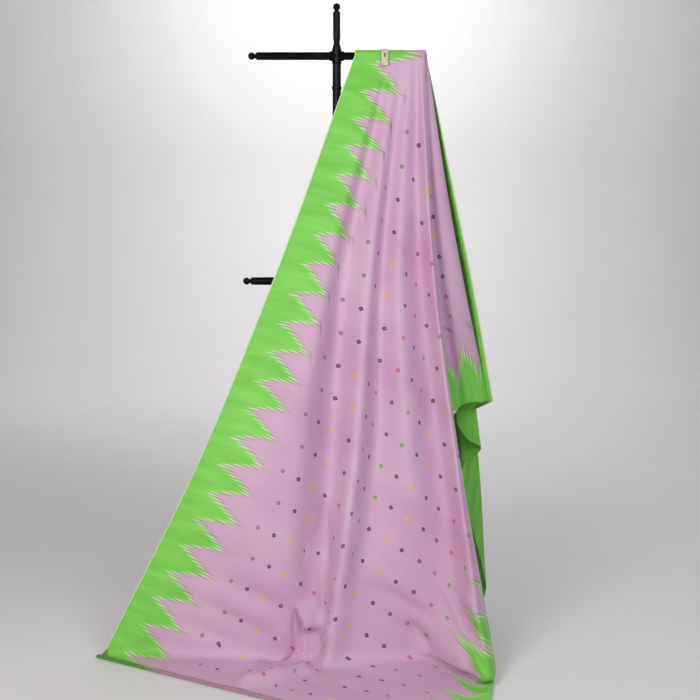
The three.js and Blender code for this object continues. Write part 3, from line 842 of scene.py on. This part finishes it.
def woven_silk(sizes, colours):
    """Silk, hand woven with dyed wefts: a soft sheen, faint ribs, feathered flames and thread motifs."""
    material, tree, surface = blank_material("hand_woven_silk")
    place = add_node(tree, "ShaderNodeUVMap", uv_map=FLAT_CLOTH).outputs["UV"]
    parts = add_node(tree, "ShaderNodeSeparateXYZ", {"Vector": place}).outputs
    u, v = parts["X"], parts["Y"]
    other_side = steps(u, ("MULTIPLY", -1.0), ("ADD", sizes.cloth_width))
    from_edge = steps(u, ("MINIMUM", other_side))

    # Slubs in the yarn shade the cloth in faint lines along the weft and, fainter, along the warp
    weft_lines = flat_noise(place, WEFT_SLUB)
    warp_lines = flat_noise(place, WARP_SLUB)
    shade = steps(weft_lines, ("MULTIPLY", 0.22), ("ADD", steps(warp_lines, ("MULTIPLY", 0.12))))

    # The body: lilac wefts across rose warps, so the two show in slow clouds
    tone = steps(flat_noise(place, CLOUD), ("MULTIPLY", 1.4), ("ADD", 0.5), ("ADD", shade))
    body = blend(tone, colours.body_rose, colours.body_lilac)

    # The border: lime wefts, with darker dye in bands
    green_tone = steps(flat_noise(place, DYE_BAND), ("MULTIPLY", 1.5), ("ADD", 0.5), ("ADD", shade))
    border = blend(green_tone, colours.border_shade, colours.border_lime)

    # The flames, in which the border's green reaches into the body
    right = steps(u, ("GREATER_THAN", sizes.cloth_width / 2))
    drift = steps(v, ("MULTIPLY", RIGHT_DRIFT), ("ADD", RIGHT_START), ("MULTIPLY", right))
    length = steps(v, ("MULTIPLY", RIGHT_SHORTENS), ("MULTIPLY", right), ("ADD", 1.0))
    rise, edge, tongue = flame_edge(place, steps(v, ("SUBTRACT", drift)), sizes.motif_row, length)
    inward = steps(from_edge, ("SUBTRACT", edge))
    green_share = soft_step(inward, -FLAME_EDGE, FLAME_EDGE, 1.0, 0.0)
    cloth = blend(green_share, body, border)

    # Where the dye thins out, pale undyed lines show between the tongues and olive lines run on from them
    beyond = steps(from_edge, ("SUBTRACT", rise))
    pale = steps(soft_step(tongue, 0.1, -0.9), ("MULTIPLY", between(beyond, PALE_ZONE)), ("MULTIPLY", 0.66))
    cloth = blend(pale, cloth, colours.undyed)
    olive = steps(soft_step(tongue, 0.1, 0.9), ("MULTIPLY", between(beyond, OLIVE_ZONE)), ("MULTIPLY", 0.60))
    cloth = blend(olive, cloth, colours.thinned)

    motif, centre, column = motif_parts(u, v, sizes)
    thread = blend(steps(centre, ("MULTIPLY", 0.45)), thread_colour(tree, column), colours.undyed)
    cloth = blend(steps(motif, ("MULTIPLY", 0.92)), cloth, thread)

    # The selvedge's last threads are paler, beside a darker line
    near = steps(from_edge, ("ABSOLUTE",))
    seen = steps(v, ("GREATER_THAN", EDGE_SEEN_TO), ("MULTIPLY", right), ("MULTIPLY", -1.0), ("ADD", 1.0))
    line = steps(between(near, SELVEDGE_LINE), ("MULTIPLY", 0.45), ("MULTIPLY", seen))
    rim = steps(soft_step(near, *SELVEDGE_RIM, 1.0, 0.0), ("MULTIPLY", 0.8), ("MULTIPLY", seen))
    cloth = blend(rim, blend(line, cloth, colours.border_shade), colours.selvedge)

    # Painted shade: a darker band along the turn on the floor, where the cloth rolls under and is lit less
    turned = soft_step(steps(v, ("ABSOLUTE",)), *TURN_SHADE_BAND, 1.0, 0.0)
    darker = blend(green_share, colours.turn_shade_pink, colours.turn_shade_green)
    cloth = blend(steps(turned, ("MULTIPLY", 0.8)), cloth, darker)

    # Height: ribs, slubs, the motifs' extra threads and the puckers
    height = steps(v, ("MULTIPLY", TURN / DRAWN_RIB), ("SINE",), ("MULTIPLY", RIB_DEPTH))
    for lines, depth in ((weft_lines, WEFT_SLUB_DEPTH), (warp_lines, WARP_SLUB_DEPTH), (motif, MOTIF_DEPTH)):
        height = steps(height, ("ADD", steps(lines, ("MULTIPLY", depth))))
    height = steps(height, ("ADD", pucker_height(v, from_edge, sizes.motif_row)))
    raise_surface(surface, height)
    sheen = {"Sheen Weight": 0.25, "Sheen Roughness": 0.35, "Sheen Tint": (*linear("#F4DDF0"), 1)}
    feed(surface, {"Base Color": cloth, "Roughness": 0.52, "Specular IOR Level": 0.35} | sheen)
    return material


def black_lacquer(colours):
    """Black lacquer brushed on turned steel tube: a deep gloss, with faint brush lines and rubbed spots."""
    material, tree, surface = blank_material("brushed_black_lacquer")
    place = add_node(tree, "ShaderNodeTexCoord").outputs["Object"]
    clouds = solid_noise(place, 42.0, 4.0)
    grit = solid_noise(place, 420.0, 2.0)
    rubbed = soft_step(clouds, 0.56, 0.74)
    gloss = steps(grit, ("MULTIPLY", 0.22), ("ADD", steps(rubbed, ("MULTIPLY", 0.16))), ("ADD", 0.26))
    height = steps(clouds, ("MULTIPLY", 0.0006), ("ADD", steps(grit, ("MULTIPLY", 0.00008))))
    raise_surface(surface, height, 0.8)
    coat = {"Coat Weight": 0.04, "Coat Roughness": 0.20}
    colour = blend(rubbed, colours.lacquer, colours.lacquer_rubbed)
    feed(surface, {"Base Color": colour, "Roughness": gloss, "IOR": 1.5, "Specular IOR Level": 0.12} | coat)
    return material


def moulded_plastic(colours):
    """Cream polypropylene, injection moulded: even and satin, a little darker where it is handled."""
    material, tree, surface = blank_material("moulded_polypropylene")
    place = add_node(tree, "ShaderNodeTexCoord").outputs["Object"]
    raise_surface(surface, steps(solid_noise(place, 900.0, 2.0), ("MULTIPLY", 0.00005)))
    colour = blend(soft_step(solid_noise(place, 90.0, 3.0), 0.45, 0.70), colours.clip, colours.clip_handled)
    depth = {"Subsurface Weight": 0.08, "Subsurface Radius": (0.004, 0.003, 0.002)}
    feed(surface, {"Base Color": colour, "Roughness": 0.42, "IOR": 1.49} | depth)
    return material


def painted_floor(colours):
    """Pale paint on a smooth studio floor: matt and even, with the faintest roller texture."""
    material, tree, surface = blank_material("pale_floor_paint")
    roller = solid_noise(add_node(tree, "ShaderNodeTexCoord").outputs["Object"], 3.0, 3.0)
    tone = steps(roller, ("SUBTRACT", 0.5), ("MULTIPLY", 0.5), ("ADD", 0.5))
    feed(surface, {"Base Color": blend(tone, colours.floor_shade, colours.floor), "Roughness": 0.55})
    return material


def colour_choice(name, description, default):
    """A colour that a user may change, given as sRGB hex."""
    kind = {"subtype": "COLOR", "size": 3, "min": 0, "max": 1}
    return FloatVectorProperty(name=name, description=description, default=linear(default), **kind)


def length_choice(name, description, default):
    """A length in metres that a user may change."""
    kind = {"subtype": "DISTANCE", "unit": "LENGTH", "min": 0}
    return FloatProperty(name=name, description=description, default=default, **kind)


def power_choice(name, description, default):
    """A light's power in watts that a user may change."""
    return FloatProperty(name=name, description=description, default=default, min=0, unit="POWER")


class SariSizes(PropertyGroup):
    """Sizes of the cloth and its motifs."""

    cloth_width: length_choice("Cloth width", "Width of the flat cloth between its selvedges", 1.16)
    cloth_length: length_choice("Cloth length", "Length of the flat cloth", 5.5)
    cloth_thickness: length_choice("Cloth thickness", "Thickness that the cloth is drawn with", 0.0012)
    motif_column: length_choice("Motif spacing across", "Distance between two motifs of a row", 0.0535)
    motif_row: length_choice("Motif spacing along", "Distance between two rows or two flames", 0.0835)
    motif_size: length_choice("Motif size", "Width of one woven motif", 0.0125)


class SariColours(PropertyGroup):
    """Colours of the silk, the stand, the clip and the floor."""

    body_lilac: colour_choice("Lilac weft", "The lighter colour of the body", "#D8B9D0")
    body_rose: colour_choice("Rose warp", "The deeper colour of the body", "#C997BA")
    border_lime: colour_choice("Lime weft", "The lighter colour of the border", "#8BDA5E")
    border_shade: colour_choice("Deep lime", "The darker dye in the border", "#69C03D")
    undyed: colour_choice("Undyed yarn", "The pale lines between the dyed bundles", "#DFE2C4")
    thinned: colour_choice("Thinned dye", "The olive lines where a bundle's dye runs out", "#94925F")
    selvedge: colour_choice("Selvedge", "The last threads of the selvedge", "#DCEFCB")
    # Painted shade along the turn on the floor, in the body's colour and in the border's
    turn_shade_pink: colour_choice("Turned edge", "The band at the turn on the floor", "#9A7480")
    turn_shade_green: colour_choice("Turned border", "The same band where the border turns", "#4C6A2C")
    lacquer: colour_choice("Lacquer", "Black lacquer of the stand", "#020203")
    lacquer_rubbed: colour_choice("Rubbed lacquer", "Lacquer where it is worn", "#0B0B0C")
    clip: colour_choice("Clip", "Cream plastic of the clip", "#DCCFB8")
    clip_handled: colour_choice("Handled clip", "Plastic where fingers darken it", "#C4B498")
    floor: colour_choice("Floor", "Pale studio floor", "#E6E4E4")
    floor_shade: colour_choice("Floor shade", "The floor's darker tone", "#DDDADB")


class StudioChoices(PropertyGroup):
    """The studio's lights."""

    key_power: power_choice("Key light", "Power of the main light, from the left", 35)
    fill_power: power_choice("Fill light", "Power of the light from the right", 29)
    rim_power: power_choice("Back light", "Power of the light from behind", 18)
    wall_power: power_choice("Wall light", "Power on the backdrop", 120)
    room: FloatProperty(name="Room light", description="Strength of the light all round", default=0.30, min=0)


def dress(node, material):
    """Give a carried-over part its finish through its own material slots."""
    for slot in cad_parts[node].material_slots:
        slot.material = material


class SARI_OT_camera(Operator):
    """Place the camera at the height and tilt of a person's view of the stand."""

    bl_idname = "sari.camera"
    bl_label = "Place the camera"

    def execute(self, context):
        camera = bpy.data.cameras.new("Camera")
        camera.lens = 54
        camera.sensor_width = 36
        holder = link(bpy.data.objects.new("Camera", camera))
        holder.location = (0.0375, -3.05, 1.2)
        holder.rotation_euler = (math.radians(82.94), 0, 0)
        context.scene.camera = holder
        return {"FINISHED"}


class SARI_OT_studio(Operator):
    """Lay the pale floor, its swept backdrop and the soft lights."""

    bl_idname = "sari.studio"
    bl_label = "Set the studio"

    def execute(self, context):
        colours, studio = context.scene.sari_colours, context.scene.sari_studio
        floor = self.sweep()
        floor.data.materials.append(painted_floor(colours))
        world = bpy.data.worlds.new("Soft room")
        world.use_nodes = True
        background = world.node_tree.nodes["Background"]
        background.inputs["Color"].default_value = (*linear("#F4F3F6"), 1)
        background.inputs["Strength"].default_value = studio.room
        context.scene.world = world
        context.scene.view_settings.view_transform = "Standard"
        aim = Vector((0, -0.1, 0.8))
        lights = (
            ("Key light", (-1.25, -2.2, 1.7), 1.1, studio.key_power, "#FFFCF7"),
            ("Fill light", (1.5, -2.25, 2.4), 1.3, studio.fill_power, "#F6F8FF"),
            ("Back light", (1.6, 1.9, 2.6), 1.4, studio.rim_power, "#FFFFFF"),
            ("Wall light", (0.0, 3.6, 4.0), 1.8, studio.wall_power, "#FFFFFF"),
        )
        wall = Vector((0, 6.4, 1.8))
        for name, place, size, power, colour in lights:
            light = bpy.data.lights.new(name, "AREA")
            light.shape = "SQUARE"
            light.size = size
            light.energy = power
            light.color = linear(colour)
            holder = link(bpy.data.objects.new(name, light))
            holder.location = place
            target = wall if name == "Wall light" else aim
            holder.rotation_euler = (target - Vector(place)).to_track_quat("-Z", "Y").to_euler()
        return {"FINISHED"}

    def sweep(self):
        """A floor that curves up into a wall behind the stand."""
        radius, back, near, half, top = 1.8, 6.4, -8.0, 9.0, 7.0
        profile = [(near, 0.0)]
        for angle in np.linspace(0, math.pi / 2, 17):
            profile.append((back - radius + radius * math.sin(angle), radius - radius * math.cos(angle)))
        profile.append((back, top))
        corners = [(x, y, z) for y, z in profile for x in (-half, half)]
        faces = [(i, i + 1, i + 3, i + 2) for i in range(0, len(corners) - 2, 2)]
        mesh = bpy.data.meshes.new("Studio_floor")
        mesh.from_pydata(corners, [], faces)
        mesh.shade_smooth()
        return link(bpy.data.objects.new("Studio_floor", mesh))


class SARI_OT_hang_sari(Operator):
    """Hang the sari over the arm in its folds, down to the floor and under."""

    bl_idname = "sari.hang_sari"
    bl_label = "Hang the sari"

    def execute(self, context):
        sizes, colours = context.scene.sari_sizes, context.scene.sari_colours
        points, flat = sari_grid()
        sari = link(bpy.data.objects.new("Sari", mesh_from_grid("Sari", points, flat)))
        sari.data.materials.append(woven_silk(sizes, colours))
        thick = sari.modifiers.new("Cloth thickness", "SOLIDIFY")
        thick.thickness = sizes.cloth_thickness
        thick.offset = 0
        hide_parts("sari")
        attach(sari, "root")
        return {"FINISHED"}


class SARI_OT_finish_stand(Operator):
    """Lacquer the stand's base, posts, hubs and arms."""

    bl_idname = "sari.finish_stand"
    bl_label = "Lacquer the stand"

    def execute(self, context):
        lacquer = black_lacquer(context.scene.sari_colours)
        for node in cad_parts:
            if node not in ("sari", "clip"):
                dress(node, lacquer)
        return {"FINISHED"}


class SARI_OT_finish_clip(Operator):
    """Give the clip its moulded plastic."""

    bl_idname = "sari.finish_clip"
    bl_label = "Finish the clip"

    def execute(self, context):
        dress("clip", moulded_plastic(context.scene.sari_colours))
        return {"FINISHED"}


OPERATORS = (SARI_OT_camera, SARI_OT_studio, SARI_OT_hang_sari, SARI_OT_finish_stand, SARI_OT_finish_clip)


class SARI_PT_panel(Panel):
    """The sari's steps in the order they are run."""

    bl_label = "Sari on its stand"
    bl_idname = "SARI_PT_panel"
    bl_space_type = "VIEW_3D"
    bl_region_type = "UI"
    bl_category = "Sari"

    def draw(self, context):
        for step in OPERATORS:
            self.layout.operator(step.bl_idname)


SETTINGS = {"sari_sizes": SariSizes, "sari_colours": SariColours, "sari_studio": StudioChoices}
CLASSES = (*SETTINGS.values(), *OPERATORS, SARI_PT_panel)


def register():
    for piece in CLASSES:
        bpy.utils.register_class(piece)
    for name, group in SETTINGS.items():
        setattr(bpy.types.Scene, name, PointerProperty(type=group))


def unregister():
    for name in SETTINGS:
        delattr(bpy.types.Scene, name)
    for piece in reversed(CLASSES):
        bpy.utils.unregister_class(piece)


def main():
    register()
    bpy.ops.sari.camera()
    bpy.ops.sari.studio()
    bpy.ops.sari.hang_sari()
    bpy.ops.sari.finish_stand()
    bpy.ops.sari.finish_clip()


if __name__ == "__main__":
    main()
